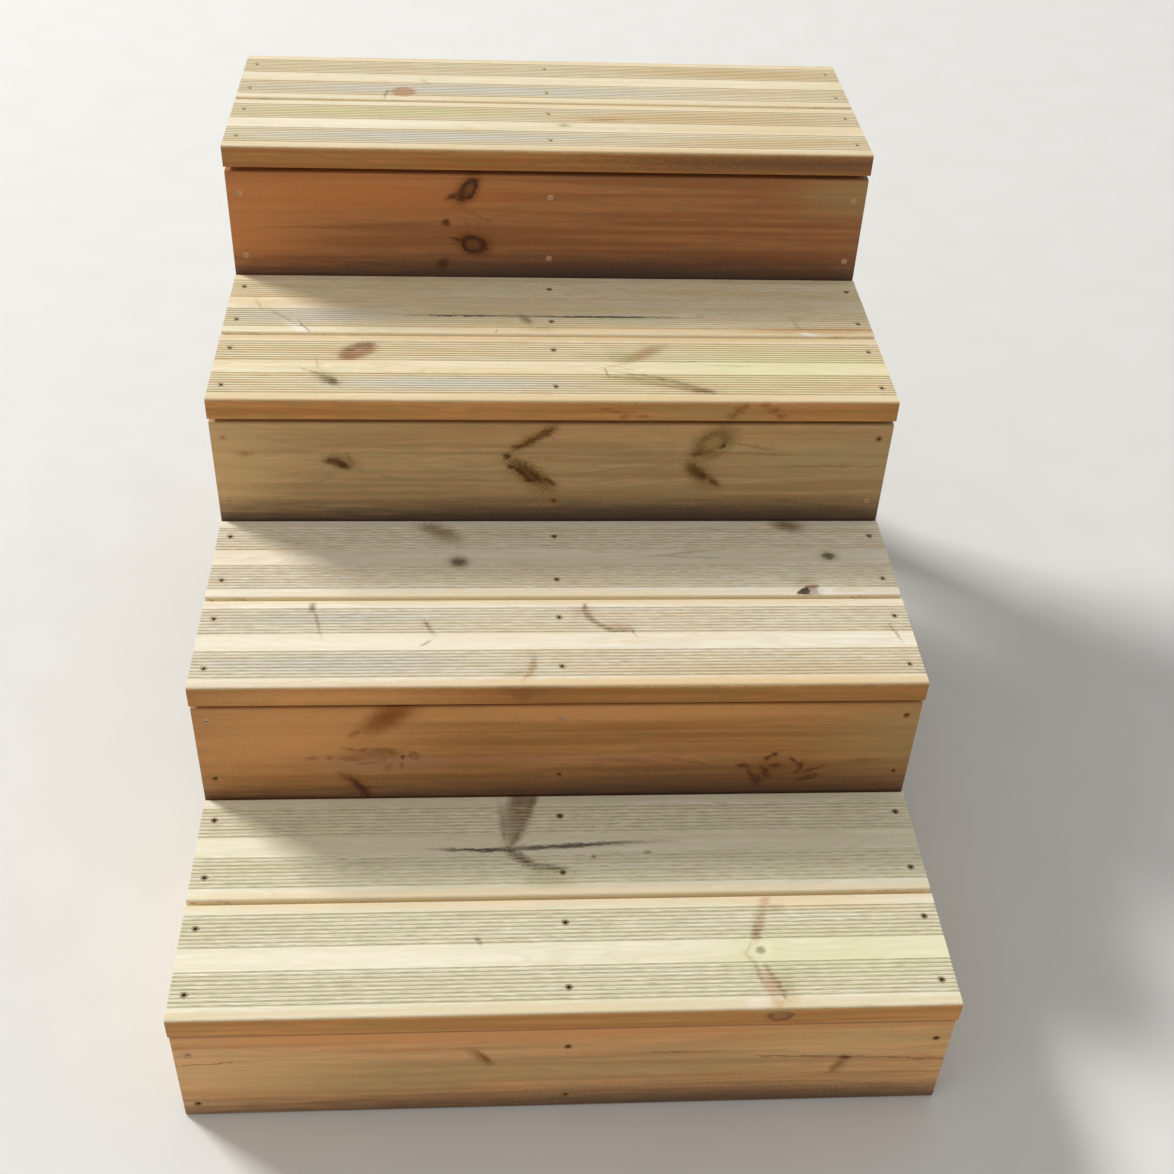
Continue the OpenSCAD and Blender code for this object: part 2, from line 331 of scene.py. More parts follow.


# %% [markdown]
# ## Knots, resin streaks and cracks
#
# A knot is the foot of a branch: a dark rim of bark round reddish heart wood, with a halo of resin. Streaks
# and cracks are only longer and thinner. Each is an ellipse placed one by one, in millimetres from the
# middle of the board, that goes through the thickness. Its own Mapping node makes the ellipse a unit
# circle, so one distance says where its rim is, and layers of colour are laid over it from the outside in.

# %% Kinds of marks
# Each kind says how many millimetres it pushes the rings, how ragged its rim is, and its
# layers from the outside in: where a layer starts and is full, in half-widths of the mark,
# its colour and its strength. Most kinds go through the board, and a few stay in its skin.
MARKS = {
    "knot": (6, 0.8, (2, 1.1, "#733F12", 0.5), (1.2, 1, "#432004", 0.95), (0.74, 0.5, "#7A4C26", 0.85)),
    "olive_ring": (5, 1.2, (1.9, 1.1, "#8B7044", 0.5), (1.2, 0.9, "#7A5C30", 0.75),
                   (0.6, 0.4, "#A98754", 0.75)),
    "grey_knot": (6, 0.8, (2.2, 1, "#B7A988", 0.4), (1.2, 0.6, "#71674F", 0.88),
                  (0.5, 0.1, "#5B5343", 0.6)),
    "dim_knot": (4, 1, (2, 1, "#BFB08C", 0.4), (1.3, 0.4, "#5E5440", 0.88)),
    "burnt_knot": (3, 0.6, (1.6, 1, "#B58E66", 0.4), (1.15, 0.85, "#352E1E", 0.96)),
    "old_knot": (5, 0.8, (1.35, 0.8, "#B48B62", 0.8)),
    "olive_heart": (0, 1.2, (1.4, 0.4, "#907E60", 0.7)),
    "red_heart": (0, 1.2, (1.4, 0.4, "#B07A4E", 0.5)),
    "rose": (0, 1, (1.4, 0.3, "#D6A783", 0.68)),
    "caramel": (2, 1.4, (1.4, 0.2, "#B08350", 0.6)),
    "dim": (1, 1.2, (1.6, 0.2, "#8C7450", 0.72)),
    "tight_knot": (5, 0.7, (2, 1.1, "#B98F58", 0.5), (1.15, 0.95, "#6E4A2B", 0.85),
                   (0.85, 0.6, "#9A6C43", 0.8)),
    "ring": (2, 0.7, (1.6, 1.1, "#8A5E34", 0.3), (1.2, 1.02, "#7E4F2A", 0.8),
             (0.84, 0.66, "#A8784A", 0.75)),
    "leaf": (5, 2.2, (1.7, 1, "#82602A", 0.5), (1.2, 0.5, "#58390C", 0.85)),
    "disc": (3, 0.7, (1.15, 0.85, "#D0A680", 0.85)),
    "core": (0, 0.8, (1.4, 0.3, "#9C8F5E", 0.8)),
    "ash": (0, 0.8, (1.2, 0.8, "#B9A5A0", 0.85)),
    "cap": (0, 0.8, (1.3, 0.6, "#A1745C", 0.85)),
    "smear": (3, 1.6, (1.6, 0.3, "#582B06", 0.9)),
    "olive_smear": (3, 1.6, (1.6, 0.2, "#603A06", 0.88)),
    "halo": (2, 1.6, (1.3, 0.1, "#7E4E1E", 0.5)),
    "olive_halo": (2, 1.6, (1.3, 0.1, "#7A5A1E", 0.55)),
    "dot": (2, 0.8, (1.6, 0.5, "#582A04", 0.9)),
    "olive_dot": (1, 0.9, (1.6, 0.4, "#503002", 0.92)),
    "bead": (0.5, 0.7, (1.7, 0.3, "#867050", 0.72)),
    "line": (0, 0.5, (1.6, 0.2, "#8A5E2E", 0.5)),
    "fox": (0.5, 0.8, (1.5, 0.2, "#884A14", 0.55)),
    "faint_line": (0.5, 0.4, (1.5, 0.2, "#A08F72", 0.35)),
    "grey_line": (0, 0.6, (1.5, 0.2, "#8A7A62", 0.62)),
    "black_line": (1, 0.3, (1.7, 0.2, "#413729", 0.88)),
    "crack": (0, 0.3, (1.6, 0.3, "#5C3510", 0.6)),
    "streak": (1, 2, (1.4, 0.1, "#84562F", 0.55)),
    "stain": (2, 1.6, (1.5, 0.1, "#854B10", 0.75)),
    "dusk": (2, 0.8, (1.3, 0.5, "#756041", 0.75)),
    "rust": (0, 1.4, (1.5, 0.2, "#9A5E3C", 0.55)),
    "bark": (1, 1.4, (1.6, 0.3, "#58300E", 0.8)),
    "mauve": (0, 1.6, (1.4, 0.1, "#B28C74", 0.5)),
    "pink": (0, 1.6, (1.4, 0.2, "#C98F6B", 0.45)),
    "flame": (2, 1.2, (1.4, 0.3, "#CF9F68", 0.65)),
    "green": (0, 1.6, (1.4, 0.1, "#B9AE70", 0.5)),
    "tan": (0, 1, (1.3, 0.2, "#E0C08C", 0.45)),
    "peach": (0, 1, (1.3, 0.4, "#F6D8A6", 0.5)),
    "wear": (0, 0.6, (1.3, 0.4, "#DDBB84", 0.35)),
    "bloom": (0, 1, (1.3, 0.3, "#DDDDD6", 0.6)),
    "lime": (0, 1, (1.3, 0.1, "#E2E2A6", 0.45)),
    "pale": (0, 1, (1.5, 0.3, "#FFF8EA", 0.75)),
    "light": (0, 1, (1.4, 0.2, "#FFF7E2", 0.45)),
    "orange": (0, 1, (1.3, 0.1, "#D08346", 0.6)),
    "gold": (0, 1, (1.4, 0.1, "#DE9F62", 0.65)),
    "amber": (0, 1, (1.4, 0.1, "#C08A52", 0.4)),
    "yellow": (0, 1, (1.3, 0.1, "#DCB478", 0.5)),
    "moss": (0, 1, (1.3, 0.1, "#A99462", 0.5)),
    # Painted shade: the next kind darkens the low middle and right of the risers and the right half of a
    # nose, where shade falls.
    "umber": (0, 1.4, (1.3, 0.1, "#563C2D", 0.68)),
    "shade": (0, 1, (1.4, 0.5, "#8A5A32", 0.6)),
    # Painted light: the next kind gives the walls of the gap between a tread's two boards the pale wood's
    # own tone, which lifts the shade in the gap.
    "shelter": (0, 0.3, (1.25, 1, "#F4E4BE", 0.92)),
}
SKIN_KINDS = {"disc", "flame", "green", "tan", "peach", "wear", "bloom", "lime", "pale", "light"}
SKIN_MM = 5.0
THROUGH_MM = 1000.0
print("Kinds of marks:", len(MARKS))

# %% Marks as distances, pushes and colours
PUSH_REACH = (3.0, 0.5)
SHAKE_MM = 7.0
SHAKE_SPAN_MM = (24.0, 10.0, 10.0)
FEATHER_SPAN_MM = (11.0, 1.9, 1.9)


def mark_distances(tree, millimetres, marks):
    """For each mark, the distance from its middle, with 1 on its rim. The coordinates are
    shaken a little first, so that no outline is a perfect ellipse, and noise that is
    stretched along the grain frays the rim as fibres do."""
    if not marks:
        return []
    shake = noise(tree, millimetres, SHAKE_SPAN_MM, weight=1.0, shrink=0.4).outputs["Color"]
    shaken = add(tree, "VectorMath", shake, (SHAKE_MM, SHAKE_MM, 0), millimetres, operation="MULTIPLY_ADD")
    feather = noise(tree, millimetres, FEATHER_SPAN_MM, weight=3.0, shrink=0.6)
    feather = calc(tree, "SUBTRACT", feather, 0.5)
    distances = []
    for kind, x, y, half_length, half_width, turn, *depth in marks:
        z, half_depth = depth or (0, SKIN_MM if kind in SKIN_KINDS else THROUGH_MM)
        middle = (x + SHAKE_MM / 2, y + SHAKE_MM / 2, z)
        own = add(tree, "Mapping", shaken, middle, (0, 0, math.radians(turn)),
                  (half_length, half_width, half_depth), vector_type="TEXTURE")
        distance = add(tree, "VectorMath", own, operation="LENGTH")
        distances.append(calc(tree, "MULTIPLY_ADD", feather, MARKS[kind][1], distance))
    return distances


def mark_pushes(tree, marks, distances):
    """How far each mark pushes the rings, in millimetres: most at its middle."""
    pushes = []
    for mark, distance in zip(marks, distances):
        push = MARKS[mark[0]][0]
        if push:
            pushes.append(ramp(tree, distance, *PUSH_REACH, 0.0, push, "SMOOTHSTEP"))
    return pushes


def draw_marks(tree, colour, marks, distances):
    """Lays the layers of each mark over the colour."""
    for mark, distance in zip(marks, distances):
        for start, full, tint, strength in MARKS[mark[0]][2:]:
            cover = ramp(tree, distance, start, full, 0.0, strength, "SMOOTHSTEP")
            colour = blend(tree, cover, colour, tint)
    return colour


# %% [markdown]
# ## Pine as it is sold
#
# The wood is pressure-treated pine, planed. Its colour has four parts: the slow change from pale to deep
# wood across the board, the rings, fine fibres along the grain, and the green cast of the copper salts,
# which stays in patches. The show face of a tread has the wood's own pale colour. Its edges and the risers
# are in honey colours, which are painted warm shade on wood of the same pale colour.

# %% The colour of planed pine
BAND_MM = (900.0, 26.0, 26.0)
STREAK_MM = 420.0
STREAK_RINGS_MM = 4.0
FIBRE_MM = (80.0, 0.8, 0.8)
PATCH_MM = (380.0, 40.0, 40.0)
BAND_EDGES = (0.36, 0.66)
STREAK_EDGES = (0.5, 0.8)
PATCH_EDGES = (0.42, 0.68)


def pine_colour(tree, millimetres, distance, late, look, lit_face):
    """Early and late wood in the look's colours: the top colours where the show face is, and elsewhere the
    edge colours, which are painted warm shade. Then bands, late wood and streaks darken it, and the salts
    green it in patches."""
    colours = look["edge"]
    if look["top"]:
        colours = [blend(tree, lit_face, edge, top) for edge, top in zip(look["edge"], look["top"])]
    pale, deep, dark, green = colours
    seed = look["seed"]
    bands = noise(tree, millimetres, BAND_MM, (seed, 0, seed), shrink=0.6)
    bands = ramp(tree, bands, *BAND_EDGES, 0.0, 1.0, "SMOOTHSTEP")
    colour = blend(tree, bands, pale, deep)
    colour = blend(tree, calc(tree, "MULTIPLY", late, look["contrast"]), colour, dark)
    along = add(tree, "SeparateXYZ", millimetres)
    lines = add(tree, "CombineXYZ", calc(tree, "DIVIDE", along, STREAK_MM),
                calc(tree, "DIVIDE", distance, STREAK_RINGS_MM), seed)
    streaks = noise(tree, lines, weight=3.0, shrink=0.6)
    streaks = ramp(tree, streaks, *STREAK_EDGES, 0.0, look["streaks"])
    colour = blend(tree, streaks, colour, dark)
    patches = noise(tree, millimetres, PATCH_MM, (0, seed, seed))
    patches = ramp(tree, patches, *PATCH_EDGES, 0.0, look["salts"])
    return blend(tree, patches, colour, green)


# %% [markdown]
# ## Sawn ends, grooves and screws leave traces
#
# Sawn ends are greyer, because they drink rain and grime, and show the rings as arcs. The grooves' floors
# hold grey-green dust, and feet leave a thin film on the lands between them, both in broken lines. The foot
# of each riser is darkened with painted shade, and the top of the first one carries a thin line of painted
# shade under the nose. Round each screw the fibres are crushed into a pale ring, and the countersink
# carries painted shade. The screws stand on a regular grid, so the coordinates are folded, and one ring
# serves all.

# %% Sawn ends
END_TONE = "#B59B72"
END_RINGS = "#7A5A3A"
END_FACING = (0.35, 0.8)
END_COVER = 0.6


def sawn_ends(tree, colour, place, late):
    """Greys the faces that look along the board, and sharpens the rings there."""
    along = place[1].to_matrix().col[0]
    facing = calc(tree, "ABSOLUTE", turned_to(tree, along))
    cover = ramp(tree, facing, *END_FACING, 0.0, END_COVER)
    colour = blend(tree, cover, colour, END_TONE)
    return blend(tree, calc(tree, "MULTIPLY", cover, late), colour, END_RINGS)


# %% Dust in the grooves
GROOVE_TOP_MM = -0.25
GROOVE_FLOOR_MM = -1.2
GROOVES_LOW_MM = -1.7
BAND_MIDDLE_MM = 35.9
BAND_HALF_MM = 22.1
DUST_MM = (75.0, 4.9, 50.0)
DUST_EDGES = (0.4, 0.68)
DUST_LEAST = 0.15
FILM_MM = (130.0, 8.5, 50.0)
FILM_EDGES = (0.36, 0.66)
FILM_RANGE = (0.2, 1.7)


def in_grooves(tree, millimetres):
    """Whether a point lies in one of the two grooved bands of the show face, and how deep in
    a groove, from 0 at the top to 1."""
    sides = add(tree, "SeparateXYZ", millimetres)
    depth = ramp(tree, sides.outputs["Z"], GROOVE_TOP_MM, GROOVE_FLOOR_MM, 0.0, 1.0)
    shallow = calc(tree, "GREATER_THAN", sides.outputs["Z"], GROOVES_LOW_MM)
    band = calc(tree, "ABSOLUTE", sides.outputs["Y"])
    band = calc(tree, "COMPARE", band, BAND_MIDDLE_MM, BAND_HALF_MM)
    zone = calc(tree, "MULTIPLY", shallow, band)
    return zone, calc(tree, "MULTIPLY", zone, depth)


def dusty_grooves(tree, colour, millimetres, zone, depth, look):
    """Dust on the floors of the grooves and a thin film on the lands between them, both in
    broken lines along the board."""
    seed = look["seed"]
    broken = noise(tree, millimetres, DUST_MM, (seed, 0, 0), weight=3.0)
    dust = ramp(tree, broken, *DUST_EDGES, look["dust"] * DUST_LEAST, look["dust"])
    smears = noise(tree, millimetres, FILM_MM, (0, seed, 0))
    film = ramp(tree, smears, *FILM_EDGES, *(look["film"] * share for share in FILM_RANGE))
    lands = calc(tree, "SUBTRACT", zone, depth)
    cover = calc(tree, "MULTIPLY_ADD", depth, dust, calc(tree, "MULTIPLY", lands, film))
    return blend(tree, cover, colour, look["dust_colour"])


# %% Painted shade at the foot and the top of a riser
PAINTED_SHADE_TONE = "#503D2F"
NOSE_SHADE_MM = 1.5


def painted_foot_shade(tree, colour, millimetres, look):
    """Painted shade on the foot of a riser, next to the tread below: darkest at the tread, gone further up.
    """
    low, high, strength = look["foot"]
    height = add(tree, "SeparateXYZ", millimetres).outputs["Y"]
    height = calc(tree, "MULTIPLY_ADD", noise(tree, millimetres, PATCH_MM), (high - low) / 2, height)
    cover = ramp(tree, height, high, low, 0.0, strength, "SMOOTHSTEP")
    return blend(tree, cover, colour, PAINTED_SHADE_TONE)


def painted_nose_shade(tree, colour, millimetres, look):
    """Painted shade along the top edge of a riser, under the nose of the tread above it."""
    low, strength = look["nose_shade"]
    height = add(tree, "SeparateXYZ", millimetres).outputs["Y"]
    nose_shade_cover = ramp(tree, height, low, low + NOSE_SHADE_MM, 0.0, strength)
    return blend(tree, nose_shade_cover, colour, PAINTED_SHADE_TONE)


# %% Crushed fibres round the screws
SINK_MM = 9.0
CRUSHED_MM = 6.8
SINK_SHADE_MM = 0.3
SINK_SHADE_COVER = 0.2
CRUSHED_TONE = "#F3E6C8"
SINK_SHADE_TONE = "#6B4E35"


def screw_rings(tree, colour, millimetres, grid):
    """Painted shade in each screw's countersink and a thin ring round it, and a pale ring of crushed fibres
    outside. The way along is wrapped to the spacing, and the way across is folded at the middle of the two
    rows."""
    spacing, middle, half, pale = grid
    sides = add(tree, "SeparateXYZ", millimetres)
    x = calc(tree, "WRAP", sides.outputs["X"], spacing / 2, -spacing / 2)
    y = calc(tree, "ABSOLUTE", calc(tree, "SUBTRACT", sides.outputs["Y"], middle))
    y = calc(tree, "SUBTRACT", y, half)
    from_screw = add(tree, "VectorMath", add(tree, "CombineXYZ", x, y, 0.0), operation="LENGTH")
    crushed = ramp(tree, from_screw, CRUSHED_MM, SINK_MM / 2, 0.0, pale)
    colour = blend(tree, crushed, colour, CRUSHED_TONE)
    # Painted shade: the countersink and a thin ring round it are darkened.
    rim = ramp(tree, from_screw, SINK_MM / 2 + SINK_SHADE_MM, SINK_MM / 2, 0.0, SINK_SHADE_COVER)
    return blend(tree, rim, colour, SINK_SHADE_TONE)


# %% [markdown]
# ## The finished timber
#
# One function puts the parts together for one board. Planing tears the soft fibres a
# little, which the bump shows, and leaves the hard late wood glossier, so the roughness
# follows the rings. Dry, weathered timber has open pores, so its sheen is weaker than that
# of other matter with the same index of refraction.

# %% A material for one piece of timber
RELIEF_M = 0.0004
RELIEF = 0.6
FIBRE_EDGES = (0.3, 0.7)
SHOW_FACING = (0.3, 0.9)
EARLY_ROUGHNESS, LATE_ROUGHNESS = 0.72, 0.58
DRY_WOOD_SHEEN = 0.28


def pine(name, place, look, marks=(), screws=None):
    """Pressure-treated pine for the board at place: rings, marks, colour, traces of the work,
    then relief and gloss."""
    material, tree = new_material(name)
    millimetres = own_millimetres(tree, place)
    distances = mark_distances(tree, millimetres, marks)
    pushes = mark_pushes(tree, marks, distances)
    radius, late = growth_rings(tree, millimetres, pushes, look)
    out = place[1].to_matrix().col[2]
    # The show face takes the top colours and every other face the edge colours, which are painted warm
    # shade: lit and shaded copies of one wood.
    lit_face = ramp(tree, turned_to(tree, out), *SHOW_FACING, 0.0, 1.0)
    if look["top"]:
        zone, in_groove = in_grooves(tree, millimetres)
        lit_face = calc(tree, "MAXIMUM", lit_face, zone)
    colour = pine_colour(tree, millimetres, radius, late, look, lit_face)
    colour = draw_marks(tree, colour, marks, distances)
    colour = sawn_ends(tree, colour, place, late)
    if look["top"]:
        colour = dusty_grooves(tree, colour, millimetres, zone, in_groove, look)
    if look["foot"]:
        colour = painted_foot_shade(tree, colour, millimetres, look)
    if look["nose_shade"]:
        colour = painted_nose_shade(tree, colour, millimetres, look)
    if screws:
        colour = screw_rings(tree, colour, millimetres, screws)
    fine = noise(tree, millimetres, FIBRE_MM, shrink=0.55)
    shade = ramp(tree, fine, *FIBRE_EDGES, 1.0 - look["fibres"], 1.0 + look["fibres"] / 2)
    colour = add(tree, "VectorMath", colour, shade, operation="SCALE")
    relief = add(tree, "Bump", RELIEF, RELIEF_M, sockets={"Height": fine})
    roughness = ramp(tree, late, 0.0, 1.0, EARLY_ROUGHNESS, LATE_ROUGHNESS)
    wood = add(tree, "BsdfPrincipled", sockets={
        "Base Color": colour, "Roughness": roughness, "IOR": 1.5,
        "Specular IOR Level": DRY_WOOD_SHEEN, "Normal": relief})
    add(tree, "OutputMaterial", wood)
    return material


# %% [markdown]
# ## The treads
#
# The eight boards came out of the same pack, but no two are alike. Each has its own pith,
# its own colours and its own marks.

# %% Looks of the boards
# A look is a dictionary. The pith's place is across and above the show face. Edge and top are the colours
# of the edges and of the show face: pale, deep and late wood, and salts. Foot is where the painted shade on
# a riser's foot is full and where it ends, and its strength; the painted shade under the nose above a riser
# is given by where it starts, and its strength. The other values are strengths, and sizes in mm.
# The honey colours of edges and risers are painted warm shade: the wood is the same as on the pale show
# faces.
HONEY = ("#CE9254", "#BC7E43", "#925E2A", "#A48746")
MID_HONEY = ("#C78B4F", "#B4773F", "#8C5928", "#9D8042")
DEEP_HONEY = ("#B98047", "#A66A37", "#825120", "#93763B")
PLAIN = dict(pith=(12.0, -55.0), taper=0.03, wander=26.0, ring=5.2, contrast=0.2, streaks=0.3,
             salts=0.5, fibres=0.06, edge=HONEY, top=None, dust=0.4, film=0.0,
             dust_colour="#ACA78C", foot=None, nose_shade=None)
MUCH_WALKED = dict(dust=0.0, film=0.62, dust_colour="#C4BE9E")
WALKED = dict(dust=0.0, film=0.5, dust_colour="#C6B896")
IVORY = ("#FAF3DC", "#F2E9CC", "#D5C596", "#E7E7C2")
CREAM = ("#FBF3E0", "#F5E7CA", "#D9C097", "#E9E5CF")
BUTTER = ("#F6E8C8", "#F0DAB0", "#D1AE7C", "#E1DEB4")
STRAW = ("#F2E5C8", "#EAD8B2", "#D1B481", "#DEDABB")

# %% The treads, board by board
# A mark is its kind, x along the board and y across it, both from its middle, half-length,
# half-width, and turn in degrees where it isn't 0. A mark in the front edge also has the
# height of its middle, which is below the top, and its half-depth.
TREADS = {
    "tread_4_back": dict(pith=(30, -70), top=STRAW, dust=0.15, marks="""
    wear 0 68 520 7; wear 150 -68 330 6; bloom -100 -36 320 17; tan 250 36 180 20; disc -187 -45 15 16
    grey_line -210 -56 13 2 84; grey_line -207 -45 5 2.4 30; green -160 -10 14 4 -60"""),
    # The dark zone over the right half of the nose is painted shade.
    "tread_4_front": dict(pith=(-25, -60), top=STRAW, edge=DEEP_HONEY, dust=0.15, marks="""
    tan 100 -68 330 7; tan 160 67 320 7; tan 290 0 180 16; bloom -150 -35 240 17; lime -200 38 240 18
    tan 62 24 60 9 6; pink 75 25 26 4 6; tan 260 -46 190 14 3; tan 200 30 200 20; green 18 5 12 8
    line 18 4 7 3; umber 330 -74 330 16 0 -14 14; light -270 3 190 15"""),
    "tread_3_back": dict(pith=(20, 55), top=BUTTER, marks="""
    bloom -300 -30 120 20; pale -310 -58 24 8 -44; green -362 -5 16 3 -70; green -330 -34 34 3.4 -45
    grey_line -302 -58 18 2 -58; peach 60 -62 240 9; flame 345 -60 110 9; dim -32 -36 13 6 -60
    black_line 60 -29 90 2.2; black_line -110 -28 60 2; green 306 -45 22 3 -75; pale 322 -70 16 4 -15
    grey_line -69 -68 5 1.6 85; green -15 -60 20 7"""),
    # The olive zone on the nose, right of the middle, is painted shade.
    "tread_3_front": dict(pith=(-10, -80), top=BUTTER, edge=MID_HONEY, marks="""
    bloom -110 -36 160 16; lime 270 10 200 46; wear 0 66 520 8; tan 150 66 300 8; tan 170 70 300 5
    tan 60 -68 300 7; old_knot -234 36 24 15 42; olive_heart -226 47 11 7 25; olive_heart -241 38 8 4
    red_heart -243 24 12 8 12; rose -232 38 14 3.4 48; rose -226 28 9 3 60; green -268 -22 26 12 -40
    dim -262 -30 14 6.5 -42; bead -258 -33 6 4 -60; line -284 -12 16 1.8 -30; green -280 8 16 2 -80
    caramel 108 32 36 11 36; green 80 26 24 14; grey_line 61 -10 12 1.6 -75; line 90 -22 28 2 -5
    faint_line 72 3 24 2 -22; line 104 -16 34 2 -12; faint_line 150 13 30 2 6; faint_line 205 6 34 2 -4
    pink 130 -38 32 5 -10; bead 125 -25 6 3.4 -40; grey_line 148 -34 26 3.4 -24
    caramel 160 -46 30 7 -12; bead 172 -50 12 4 -10; green 115 -30 60 12 -8; moss 180 -74 110 6 0 -14 14
    stain 205 -74 7 6 0 -20 5; stain 212 -74 8 6 0 -12 6; stain 219 -74 6 6 0 -6 4
    stain 243 -74 8 6 0 -5 4; stain 254 -74 9 6 0 -12 5; stain 262 -74 7 6 0 -20 4
    fox 56 -74 9 6 0 -11 1.6; fox 69 -74 8 6 0 -15 2; fox 78 -74 5 6 0 -22 4; fox 101 -74 7 6 0 -21 3"""),
    "tread_2_back": dict(WALKED, pith=(35, -50), top=CREAM, marks="""
    dim_knot -114 -9 11 9; olive_halo -134 46 36 18 -40; grey_knot 327 1 8.4 7.2; dim -140 52 24 8 -20
    dim 285 60 18 9 -20; olive_halo 290 62 24 14; pale 316 -60 9 12; green 290 -46 14 6 20
    cap 298 -57 8 4.6 15; ash 297 -69 10 5 60; burnt_knot 286 -68 12 5.4 58; bead 304 -73 4 2.4 60
    peach -60 -67 300 6; faint_line 150 7 46 2.4 10; faint_line 158 0 54 2 -4"""),
    "tread_2_front": dict(WALKED, pith=(0, -95), top=CREAM, edge=DEEP_HONEY, marks="""
    bloom -240 -34 170 18; bloom -250 40 150 10; light -260 0 230 15; peach 0 68 520 6
    wear 180 -67 330 9; tan 230 -48 210 13; tan 160 -69 380 7; peach 180 -66 340 5
    gold -260 -74 170 16 0 -14 14; bead -278 59 7 4 80; line -271 36 26 2.2 -75; line -146 24 15 2.4 -65
    bead -149 29 4 2.4 -70; line -149 -3 8 2.2 40; pink 68 25 18 6 -8; pink 28 52 14 7
    bead 30 57 8 2.6 86; bead 33 43 7 4 -72; bead 39 34 6 4 -50; bead 47 26 6 3 -45; bead 56 20 6 3 -28
    bead 70 18 11 2.4 -4; line 82 16 8 1.6 -70; caramel -32 -40 19 5 82; green -50 -52 20 6
    flame -40 -58 8 3 60; line 380 12 16 2 -75; shade -38 -74 40 6 0 -4 4; shade -41 -74 24 6 0 -10 6
    shade -43 -74 11 6 0 -17 7"""),
    "tread_1_back": dict(MUCH_WALKED, pith=(-20, -60), top=IVORY, marks="""
    dusk -45 57 62 16 78; olive_halo -65 34 32 5 96; rust -47 50 20 6 84; dim -35 50 40 5.4 71
    dim -37 46 34 3.4 71; olive_halo -52 6 16 4 66; black_line 5 -4 80 3.2 3
    black_line -95 -8 42 2.2 -2; olive_smear -43 -22 22 6.4 -38; olive_smear -14 -34 20 4 -10
    green -14 -50 30 16; bead 95 -14 3 2.4; bead 35 -19 3 2.4; peach 0 -68 520 5"""),
    "tread_1_front": dict(MUCH_WALKED, pith=(15, -75), top=IVORY, marks="""
    peach 0 68 520 6; peach 280 58 120 10 -4; lime 300 -4 190 34; light -260 0 230 15
    bead -92 19 5 2.4 -60; lime 200 0 34 26; pink 216 64 10 6 80; green 226 54 14 7
    caramel 206 36 26 6.4 74; pale 196 46 9 3 80; fox 200 22 10 5 78; faint_line 190 4 9 2 62
    light 204 0 13 12; core 202 0 6 5.4; faint_line 188 -8 8 2 -60; green 224 -44 12 26
    rose 206 -44 20 7 -80; line 196 -28 15 2.4 -80; line 208 -27 12 2.4 -66; caramel 214 -43 20 5 -72
    line 217 -50 10 2 -78; pale 190 -65 14 6; pink 212 -67 8 6; ring 213 -74 12 6 0 -12 8
    green 208 -74 20 6 0 -3 5"""),
}
# The pale strips on the walls of the gap between a tread's two boards are the pale wood's own tone and
# painted light, which lifts the gap's shade.
GAP_AND_NOSE = {
    "front": "shelter 0 80 700 10.5 0 -14 24; wear 0 -68 700 9",
    "back": "shelter 0 -80 700 10.5 0 -14 24",
}


def read_marks(lines):
    """The marks in lines of text, as tuples: a line end or a semicolon parts two marks."""
    marks = []
    for mark in lines.replace("\n", ";").split(";"):
        if mark.strip():
            kind, *numbers = mark.split()
            turn = [0.0] * (5 - len(numbers))
            marks.append((kind, *map(float, numbers), *turn))
    return marks


print("Marks on the first tread board:", len(read_marks(TREADS["tread_1_front"]["marks"])))

# %% The treads' material
SCREW_EDGE_MM = 15.0
SCREW_SPACING_MM = box("tread_1_front")[1].x / MM - SCREW_EDGE_MM
TREAD_ROW_MM = 41.0
TREAD_RING = 0.45
TREAD_GRID = (SCREW_SPACING_MM, 0.0, TREAD_ROW_MM, TREAD_RING)
SEED_STEP = 7.31


def dress(name, material):
    """Gives a solid its material, in all of its slots."""
    mesh = nodes[name].data
    mesh.materials.clear()
    mesh.materials.append(material)


for i, (name, board) in enumerate(TREADS.items(), start=1):
    look = dict(PLAIN, seed=i * SEED_STEP, **board)
    marks = read_marks(board["marks"] + ";" + GAP_AND_NOSE[name.split("_")[2]])
    dress(name, pine("lit_and_shaded_treated_pine_" + name, board_place(name, X, Y), look, marks, TREAD_GRID))
print("Treads dressed:", len(TREADS))
